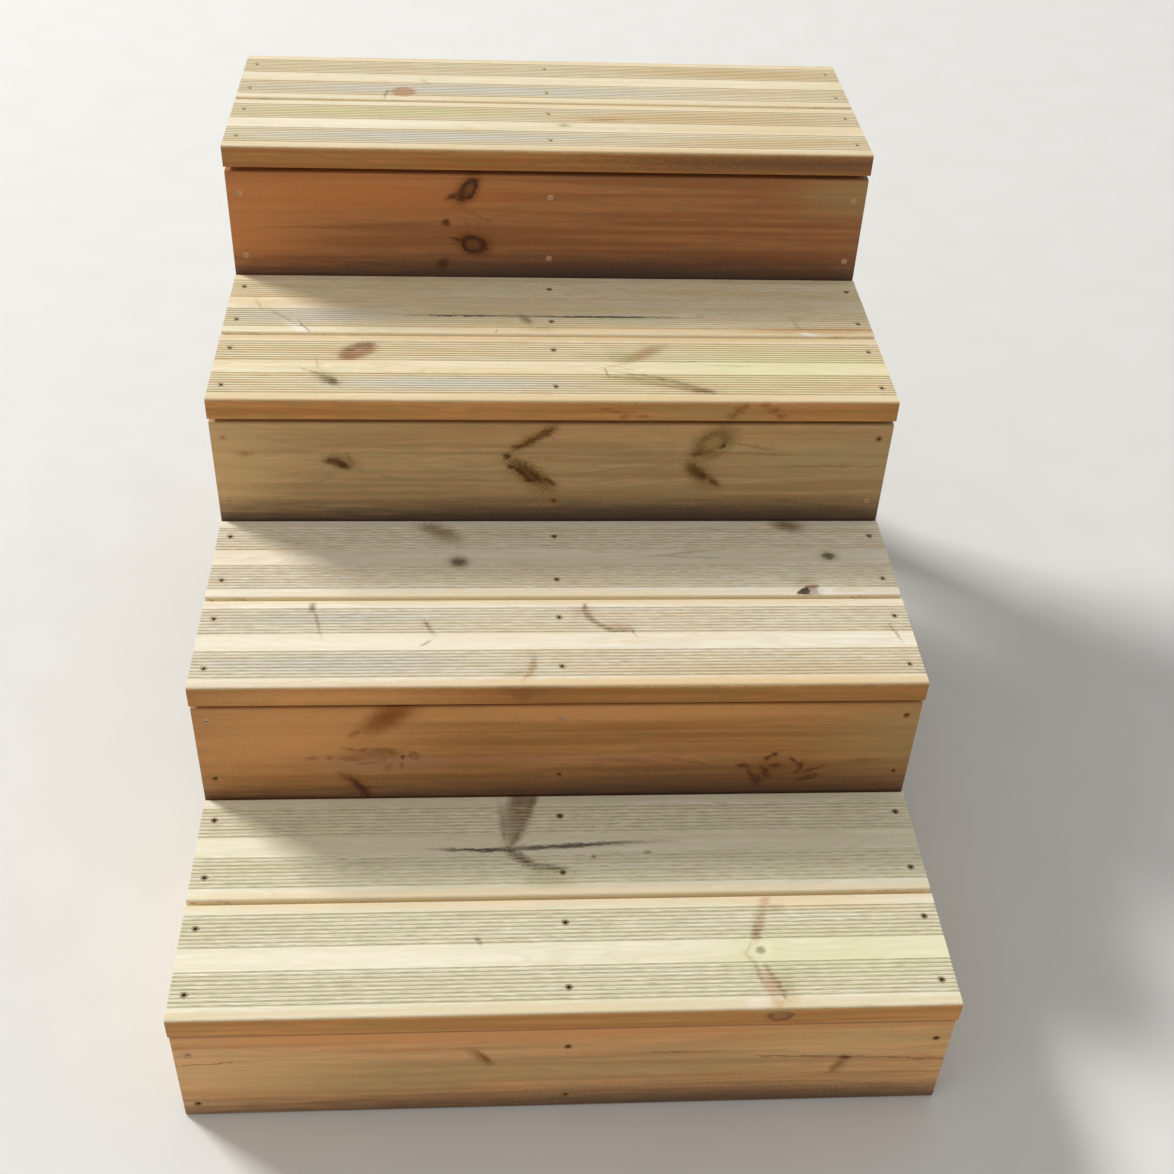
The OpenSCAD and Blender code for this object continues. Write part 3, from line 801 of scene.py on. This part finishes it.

# %% [markdown]
# ## The risers
#
# The same boards on edge, with their plain face forward. Nobody walks on them and the sun seldom reaches
# them. Their honey colour, each a little different, is painted warm shade over wood that is as pale as the
# treads'.

# %% The risers' material
# On each riser the wide dark zones low in the middle and right are painted shade, next to the tread below.
RISERS = {
    # The orange zones at the left are painted light.
    "riser_4": dict(pith=(-30, -60), foot=(-64.0, -15.0, 0.9),
                    edge=("#B37848", "#9E6238", "#7B4728", "#8E6C43"), marks="""
    orange -420 0 150 90; moss 400 50 110 36; umber 110 -68 440 46; umber 90 -74 420 26
    umber 50 -70 180 24; orange -230 46 240 36; halo -108 50 28 17 50; knot -102 53 16 8.4 60
    smear -111 48 7 4 60; smear -122 43 9 3.6 20; smear -112 40 8 2.6; dot -131 8 5.4 4.8
    streak -180 6 50 3.4 2; streak -260 0 110 2.2 1; line -104 7 9 2.6 -75; line -90 4 8 2.6 60
    line -78 11 5 2.6 -20; line -94 19 16 1.8 -28; halo -94 -20 30 18 -12; knot -96 -22 16 11 -14
    smear -85 -27 9 4 62; smear -96 -33 10 3; smear -117 -15 9 2.4 -12; line -55 -20 24 1.8 -3
    smear -136 -50 8.5 6.4 25; dot -135 -49 6 5 25; line 250 14 6 2 -30; streak 310 8 90 2
    streak 180 13 100 1.8 2; streak 230 -30 150 2.4"""),
    # The yellow zone at the left end is painted light.
    "riser_3": dict(pith=(40, -45), foot=(-60.0, -15.0, 0.9),
                    edge=("#C39F70", "#AE8A5D", "#886741", "#9C8F62"), marks="""
    yellow -400 10 90 90; moss 330 24 160 30; amber 60 60 420 20; umber 130 -68 440 38
    umber 110 -74 420 24; olive_halo -252 19 24 13 -14; olive_smear -255 17 14 6.4 -22
    olive_dot -251 14 9 4 -36; olive_smear -266 20 7 3; line -241 22 9 2.4 -60; streak -362 30 12 3.6
    olive_halo -26 52 38 11 30; olive_smear -30 48 24 4.4 32; olive_smear -9 62 11 5.4 30
    olive_smear -44 41 8 3 20; olive_halo -26 -4 38 19 -38; leaf -31 3 28 9.5 -38
    olive_dot -44 8 9 2.6 -42; olive_dot -36 -1 11 2.4 -44; olive_dot -22 -3 8 2.8 -58
    olive_dot -30 -8 7 2.2 -10; olive_smear -7 -10 10 3.6 -32; olive_dot -53 12 4 3
    olive_dot -57 27 4.2 4; line -18 25 30 1.4; olive_halo 190 48 34 22 42; olive_ring 186 46 22 14 40
    core 196 36 12 4.4 22; olive_smear 169 31 8 4.4 10; olive_dot 199 42 5 2.2 60; line 188 27 11 1.8 35
    line 184 33 14 1.6 -4; olive_halo 178 -3 28 17 -42; leaf 170 5 16 8 -48; olive_dot 178 -1 4.6 4 -20
    olive_smear 192 -10 10 4 -40; line 235 31 56 1.6 -2; line 238 41 30 1.6 -12; line 330 13 70 1.6"""),
    # The gold zone at the left end is painted light.
    "riser_2": dict(pith=(-20, -50), edge=("#BE864F", "#A7703D", "#83542C", "#967641"), marks="""
    gold -290 24 160 62; gold 60 62 400 16; moss 400 20 120 70; umber 160 -62 430 48
    stain -194 54 36 15 42; stain -184 62 30 16 30; fox -227 33 9 4 45; mauve -205 -14 70 16
    streak -205 2 40 12; fox -276 -5 8 3; fox -257 -4 4.6 3.6 -20; fox -234 -6 16 4 -4
    fox -232 9 12 1.8 -14; fox -219 8 3.4 3.4; streak -199 7 16 5 -6; fox -187 4 7 4 -56
    fox -196 -8 2.6 5; dot -176 -4 2.4 4; ring -163 -2 5.4 4.6; fox -213 -13 15 2.2 3
    streak -192 -19 9 6 50; fox -177 -17 2.6 7; halo -226 -50 30 13 -52; smear -227 -49 18 4 -56
    smear -221 -57 11 5 -66; fox -243 -34 10 4 -50; pink 0 -10 200 9; streak 75 -13 46 4.6 -3
    streak 142 -15 32 3.4 -12; line 166 -22 14 2 -30; halo 246 -32 52 28; smear 236 -12 4.6 3 30
    smear 243 -6 5.4 3.6 25; bark 209 -24 8 3.4 -12; bark 219 -39 10 3 -66; smear 227 -48 6.4 8.6
    smear 236 -35 11 4.2 -62; bark 246 -24 7 4; bark 266 -16 9 2.6 -36; bark 275 -25 7 3 -84
    bark 271 -34 6 2.4 45; bark 290 -31 14 2.2 20; line 322 -23 24 1.8 10; streak 350 -16 18 4 3
    line 256 -37 22 1.8; bark 284 -45 14 3.4 18"""),
    # The dark line along this riser's top edge is painted shade under the nose.
    "riser_1": dict(pith=(10, -70), nose_shade=(64.5, 0.5),
                    # The yellow zone at the left end is painted light.
                    edge=("#E2AC74", "#CB925F", "#A26F40", "#B69B69"), marks="""
    yellow -310 -4 150 50; orange -90 62 390 24; gold -60 62 460 12; moss 0 0 330 26
    moss -190 -24 110 22; yellow 300 34 150 26; umber 150 -68 400 36; halo -90 20 22 7 -50
    fox -87 21 15 4 -54; fox -85 19 8 3 -54; crack -365 20 42 1.2 3; crack 245 9 52 1.7 -3
    crack 355 2 52 1.2 -5; dot 293 6 6 3.2; halo 288 -8 20 9 65; line 286 -10 15 2.4 65
    streak 110 22 48 1.6"""),
}
# Every riser has painted shade at its foot, stronger and higher on risers 3 and 4.
RISER_LOOK = dict(PLAIN, contrast=0.16, streaks=0.24, foot=(-68.0, -20.0, 0.8))
RISER_SEED = 20
RISER_SCREWS_MM = {"riser_1": (21.0, 108.0), "riser_2": (30.0, 119.0), "riser_3": (27.0, 118.0),
                   "riser_4": (25.0, 109.0)}


def riser_grid(name):
    """The spacing, middle and half-distance of a riser's screw rows. Their heights are
    measured from the tread below, which the upper risers reach down behind."""
    low, high = (corner[2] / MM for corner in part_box(name))
    tread_top = 0.0 if name == "riser_1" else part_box(f"tread_{int(name[-1]) - 1}_back")[1][2] / MM
    rows = [tread_top + height - (low + high) / 2 for height in RISER_SCREWS_MM[name]]
    return SCREW_SPACING_MM, sum(rows) / 2, (rows[1] - rows[0]) / 2, 0.0


for i, (name, board) in enumerate(RISERS.items(), start=RISER_SEED):
    look = dict(RISER_LOOK, seed=i * SEED_STEP)
    look.update(board)
    place = board_place(name, X, Z)
    marks = read_marks(board["marks"])
    dress(name, pine("shaded_honey_treated_pine_" + name, place, look, marks, riser_grid(name)))
print("Risers dressed:", len(RISERS))

# %% [markdown]
# ## The carcass
#
# Stringers, posts, blocking, plate and brace are plain construction timber, greener than the boards because
# no sun has faded the salts. The grain of a stringer runs along the plank that it was sawn from, so it
# climbs at the pitch of the stair, and every seat cuts across it. The pitch is measured between two treads,
# and the brace's slope is the long axis of its own corners. Such timber is sold with its knots, so a few go
# into most sticks, though not the blocking.
# The two boards at the back are the risers' own sort, and deeper in colour.

# %% The carcass material
RAW = dict(PLAIN, taper=0.012, wander=9.0, ring=4.4, contrast=0.34, streaks=0.4, salts=0.4,
           edge=("#DCC393", "#CDAF7C", "#A5814F", "#BDB282"))
CARCASS_SEED = 40
PITH_SIDE_MM, PITH_DEPTH_MM, PITH_STEP_MM = 44, -90, 4

climb = (box("tread_2_front")[0] - box("tread_1_front")[0]).normalized()
brace = nodes["rear_brace"].data.vertices
corners = np.empty(3 * len(brace))
brace.foreach_get("co", corners)
corners = corners.reshape(-1, 3)
slope = Vector(np.linalg.svd(corners - corners.mean(axis=0), full_matrices=False)[2][0])
slope = slope if slope.x > 0 else -slope
slope = Vector((slope.x, 0, slope.z)).normalized()
for name, way in (("Pitch", climb), ("Brace", slope)):
    print(name, round(math.degrees(math.asin(way.z)), 2), "degrees")

CARCASS = {
    "stringer_left": (climb, climb.cross(X)), "stringer_centre": (climb, X.cross(climb)),
    "stringer_right": (climb, X.cross(climb)), "rear_post_left": (Z, X), "rear_post_centre": (Z, X),
    "rear_post_right": (Z, X), "blocking_left": (X, Z), "blocking_right": (X, Z), "toe_plate": (X, Y),
    "rear_top_board": (-X, Z), "rear_foot_rail": (-X, Z), "rear_brace": (slope, Y.cross(slope)),
}
CARCASS_KNOTS = {
    "stringer_left": [(-310, -34, 13, 9, 20), (60, -52, 8, 6, 0), (330, 36, 15, 11, -10)],
    "stringer_centre": [(-120, -30, 12, 9, 0)],
    "stringer_right": [(-190, -46, 10, 8, 10), (150, 22, 16, 11, -15), (420, -10, 7, 5, 0)],
    "rear_post_left": [(-90, 6, 11, 8, 0), (130, -9, 7, 5, 0)],
    "rear_post_centre": [(40, -12, 12, 8, 10)],
    "rear_post_right": [(-20, 9, 9, 7, 0), (190, -8, 12, 8, 0)],
    "toe_plate": [(-180, 0, 10, 7, 0)],
    "rear_top_board": [(-230, 24, 14, 11, 0), (-60, -38, 9, 7, 0), (190, 8, 17, 12, 8)],
    "rear_foot_rail": [(-150, -20, 15, 11, 0), (120, 34, 10, 8, 0), (300, -44, 8, 6, 0)],
    "rear_brace": [(-120, 10, 12, 8, 0), (170, -16, 9, 7, 0)],
}
# The back boards take the risers' honey colours, which are painted warm shade.
REAR_BOARDS = dict(rear_top_board=("#D6AD74", "#C39862", "#9A7042", "#AE9A64"),
                   rear_foot_rail=("#CFA873", "#BC9462", "#936D43", "#A99868"))
for i, (name, (along, across)) in enumerate(CARCASS.items()):
    pith = (PITH_SIDE_MM * (-1) ** i, PITH_DEPTH_MM + PITH_STEP_MM * i)
    look = dict(RAW, seed=(i + CARCASS_SEED) * SEED_STEP, pith=pith)
    look["edge"] = REAR_BOARDS.get(name, look["edge"])
    marks = [("tight_knot", *knot) for knot in CARCASS_KNOTS.get(name, [])]
    dress(name, pine("raw_treated_pine_" + name, board_place(name, along, across), look, marks))
print("Carcass dressed:", len(CARCASS))

# %% [markdown]
# ## The screws
#
# Decking is held by stainless screws with a countersunk head and a star drive, sunk a hair
# below the face. A head is a surface of revolution, apart from the star, so it is one grid:
# closed loops, one inside the other, from the tip of the cone up to the rim, and on into
# the star. All heads are copies of it, turned to their face and each spun by chance, and
# joined to one mesh for each group of screws.

# %% The shape of one screw head
HEAD_RADIUS_MM = 4.1
SUNK_MM = 0.45
STAR_RADIUS_MM = 2.15
STAR_WAVE_MM = 0.38
LOBES = 6
STEPS = 36


def head_loops():
    """Loops of the head as an array of rings x steps x 3 in millimetres: the tip of the cone,
    the rim, the top, the star's edge, wall and floor. A loop is a circle whose radius swings
    by wave with six lobes a turn; each row below is radius, wave and height."""
    rows = np.array([
        (0.4, 0.0, -SUNK_MM - HEAD_RADIUS_MM + 0.3),
        (HEAD_RADIUS_MM, 0.0, -SUNK_MM - 0.15),
        (HEAD_RADIUS_MM - 0.2, 0.0, -SUNK_MM),
        (STAR_RADIUS_MM + 0.12, STAR_WAVE_MM, -SUNK_MM),
        (STAR_RADIUS_MM, STAR_WAVE_MM, -SUNK_MM - 0.15),
        (STAR_RADIUS_MM * 0.85, STAR_WAVE_MM, -SUNK_MM - 1.6),
        (0.5, 0.0, -SUNK_MM - 2.0)])
    angle = np.linspace(0, 2 * np.pi, STEPS, endpoint=False)
    radius = rows[:, 0:1] + rows[:, 1:2] * np.cos(LOBES * angle)
    height = np.broadcast_to(rows[:, 2:3], radius.shape)
    return np.stack([radius * np.cos(angle), radius * np.sin(angle), height], axis=-1)


def loop_faces(rings, steps):
    """Quads between neighbouring loops, and one many-sided face across each end loop."""
    ring, step = np.meshgrid(np.arange(rings - 1), np.arange(steps), indexing="ij")
    after = (step + 1) % steps
    quads = np.stack([ring * steps + step, ring * steps + after,
                      (ring + 1) * steps + after, (ring + 1) * steps + step], axis=-1)
    first, last = np.arange(steps)[::-1], np.arange(steps) + (rings - 1) * steps
    return quads.reshape(-1, 4), [first, last]


HEAD = head_loops()
print("Faces of a screw head:", (len(HEAD) - 1) * STEPS + 2)

# %% [markdown]
# Each group is one broadcast: the head times a turn for every screw, plus a place for every screw. The
# depth of every point inside the star goes along as an attribute, so that the material can tint the star
# deeper in.

# %% Screws as joined meshes
random = np.random.default_rng(7)
STAR_TINT_FROM_MM = SUNK_MM + 0.1
STAR_TINT_FULL_MM = SUNK_MM + 1.2


def drive_screws(name, spots, out, material):
    """One mesh of screw heads at the spots, in metres, in a face that looks towards out.
    The head's own z is turned to out, after a random spin about it."""
    spots = np.array(spots, float)
    out = Vector(out)
    side = out.orthogonal().normalized()
    axes = np.array([side, out.cross(side), out])
    spin = random.uniform(0, 2 * np.pi, len(spots))[:, None, None]
    x, y, z = np.moveaxis(HEAD, -1, 0)
    turned = np.stack([np.cos(spin) * x - np.sin(spin) * y, np.sin(spin) * x + np.cos(spin) * y,
                       np.broadcast_to(z, (len(spots), *z.shape))], axis=-1)
    points = (turned.reshape(len(spots), -1, 3) @ axes) * MM + spots[:, None, :]
    quads, caps = loop_faces(*z.shape)
    faces = []
    for start in np.arange(len(spots)) * z.size:
        faces += (quads + start).tolist() + [(cap + start).tolist() for cap in caps]
    mesh = bpy.data.meshes.new(name)
    mesh.from_pydata(points.reshape(-1, 3).tolist(), [], faces)
    depth = np.clip((-z - STAR_TINT_FROM_MM) / (STAR_TINT_FULL_MM - STAR_TINT_FROM_MM), 0, 1).ravel()
    mesh.attributes.new("star_depth", "FLOAT", "POINT").data.foreach_set("value", np.tile(depth, len(spots)))
    mesh.materials.append(material)
    mesh.validate()
    piece = bpy.data.objects.new(name, mesh)
    bpy.context.scene.collection.objects.link(piece)
    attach(piece, "root")
    print(name, len(spots), "screws,", len(mesh.polygons), "faces")


# %% [markdown]
# Deck screws are stainless steel with a thin yellowish passivation, dulled by rain. Metal keeps its default
# IOR; its colour is the tint of its reflection, and a noise of many octaves, each stronger than the one
# before, stands for scratches too fine to be seen singly. The lower a tread, the dirtier its screws. On the
# risers some heads are brown, and the rest are pale, with a pale star that is painted light.

# %% Passivated stainless steel
SCRATCHES_PER_M = 5.0
SCRATCH_DETAIL = 15.0
SCRATCH_ROUGHNESS = 3.0
SCRATCH_EDGES = (0.3, 0.7)
STEEL_ROUGHNESS = (0.32, 0.5)
DEEP_STAR_METAL = 0.1


def screw_steel(name, bright, dull, star_tint, bare):
    """Dulled steel, of which only the share bare reflects as metal, that takes the star tint deeper in the
    star, as the depth attribute says. In the clean steel that tint is paler than the head: painted light in
    the shade of the recess."""
    material, tree = new_material(name)
    where = add(tree, "TexCoord").outputs["Object"]
    worn = add(tree, "TexNoise", where, SCRATCHES_PER_M, SCRATCH_DETAIL, SCRATCH_ROUGHNESS)
    star_depth = add(tree, "Attribute", attribute_name="star_depth").outputs["Fac"]
    tint = blend(tree, star_depth, blend(tree, worn, dull, bright), star_tint)
    metal = ramp(tree, star_depth, 0.0, 1.0, bare, DEEP_STAR_METAL)
    rough = ramp(tree, worn, *SCRATCH_EDGES, *STEEL_ROUGHNESS)
    steel = add(tree, "BsdfPrincipled", sockets={"Base Color": tint, "Metallic": metal, "Roughness": rough})
    add(tree, "OutputMaterial", steel)
    return material


DIRTY_STEEL = screw_steel("dirty_stainless_steel", "#A8987A", "#857452", "#2E2414", 0.3)
DUSTY_STEEL = screw_steel("dusty_stainless_steel", "#C2AE88", "#A18C66", "#4E3F2A", 0.3)
PALE_STEEL = screw_steel("sun_bleached_stainless_steel", "#D8C59C", "#BDA87C", "#8C7650", 0.3)
BROWN_STEEL = screw_steel("brown_stainless_steel", "#A67024", "#82561C", "#583810", 0.1)
# The clean heads' star tint, paler than their rim, is painted light that lifts the shade in the recess.
CLEAN_STEEL = screw_steel("clean_stainless_steel", "#C69A72", "#B48860", "#D5AC84", 0.2)

# %% [markdown]
# Where the screws go follows from what they hold: three along each board, over the
# stringers, and two across it. On a tread they stand in a groove, where a carpenter's bit
# finds its place by itself. At the back they go into the middle of the posts.

# %% Screws in the treads and risers
columns = np.array([-1, 0, 1]) * SCREW_SPACING_MM * MM
TREAD_STEELS = (DIRTY_STEEL, DUSTY_STEEL, DUSTY_STEEL, PALE_STEEL)
for step, steel in enumerate(TREAD_STEELS, start=1):
    spots = []
    for name in (f"tread_{step}_front", f"tread_{step}_back"):
        low, high = box(name)
        rows = (low.y + high.y) / 2 + np.array([-1, 1]) * TREAD_ROW_MM * MM
        spots += [(x, y, high.z) for x in columns for y in rows]
    drive_screws(f"tread_{step}_screws", spots, (0, 0, 1), steel)

# The brown screws of each riser, by column from the left and row from below.
BROWN_SPOTS = {"riser_1": [(0, 0), (1, 0), (1, 1), (2, 1)], "riser_2": [(0, 0), (1, 0), (2, 0), (2, 1)],
                 "riser_3": [(1, 0), (2, 1)], "riser_4": []}
brown, clean = [], []
for name, brown_spots in BROWN_SPOTS.items():
    low, high = box(name)
    _, middle, half, _ = riser_grid(name)
    rows = (low.z + high.z) / 2 + (middle + np.array([-1, 1]) * half) * MM
    for column, x in enumerate(columns):
        for row, z in enumerate(rows):
            spots = brown if (column, row) in brown_spots else clean
            spots.append((x, low.y, z))
drive_screws("brown_riser_screws", brown, (0, -1, 0), BROWN_STEEL)
drive_screws("clean_riser_screws", clean, (0, -1, 0), CLEAN_STEEL)

# %% Screws in the back and the sides
QUARTERS = np.array([1, 3]) / 4
posts = [Vector.lerp(*box("rear_post_" + side), 0.5) for side in ("left", "centre", "right")]
spots = []
for name in ("rear_top_board", "rear_foot_rail"):
    low, high = box(name)
    spots += [(post.x, high.y, low.z + (high.z - low.z) * share) for post in posts for share in QUARTERS]
drive_screws("rear_screws", spots, (0, 1, 0), CLEAN_STEEL)

post_low, post_high = box("rear_post_left")
block_low, block_high = box("blocking_left")
depth = post_high.y - post_low.y
into_post = [(post_high.y - depth * a, post_high.z - depth * b) for a in QUARTERS for b in QUARTERS]
into_block = [((block_low.y + block_high.y) / 2, block_low.z + (block_high.z - block_low.z) * share)
              for share in QUARTERS]
into_side = into_post + into_block
for name, x, facing, places in (("left_side", cad_box[0][0], -1, into_side),
                                ("right_side", cad_box[1][0], 1, into_side),
                                ("centre_side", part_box("stringer_centre")[0][0], -1, into_post)):
    drive_screws(name + "_screws", [(x, y, z) for y, z in places], (facing, 0, 0), CLEAN_STEEL)

# %% Screws in the brace
BRACE_WIDTH_MM = 95.0
brace_low = box("rear_brace")[0]
up_brace = Y.cross(slope) if Y.cross(slope).z > 0 else slope.cross(Y)
middle_height = brace_low.z + BRACE_WIDTH_MM * MM / 2 / slope.x
rise_per_run = slope.z / slope.x
spots = []
for post in posts:
    on_brace = Vector((post.x, brace_low.y, middle_height + (post.x - brace_low.x) * rise_per_run))
    spots += [on_brace + up_brace * BRACE_WIDTH_MM * MM * (share - 0.5) for share in QUARTERS]
drive_screws("brace_screws", spots, (0, -1, 0), CLEAN_STEEL)
